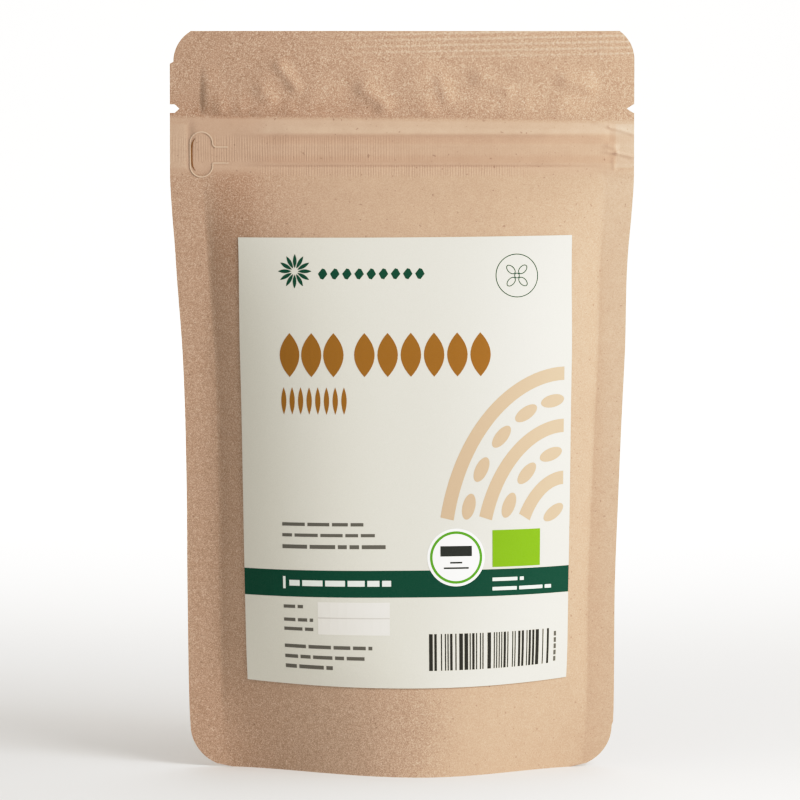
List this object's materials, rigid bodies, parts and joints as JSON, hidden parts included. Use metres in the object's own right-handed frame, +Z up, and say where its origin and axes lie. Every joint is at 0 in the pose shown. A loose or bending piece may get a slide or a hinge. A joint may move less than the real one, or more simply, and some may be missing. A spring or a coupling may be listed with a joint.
{
  "type": "stand-up pouch of dry goods",
  "caption": "Stand-up pouch of kraft paper, filled and sealed shut, with a press-to-close zip under its top seal, tear notches and a paper label on the front.",
  "frame": {"origin": "on the ground, under the middle of the pouch's box", "axes": "+Z up along the pouch's height, -Y towards the labelled front, +X to the right seen from the front"},
  "size_m": [0.13, 0.0446, 0.207],
  "materials": {
    "kraft_paper": "matte",
    "label_paper": "matte"
  },
  "bodies": {
    "root": {"pouch": "kraft_paper", "label": "label_paper"}
  },
  "joints": []
}
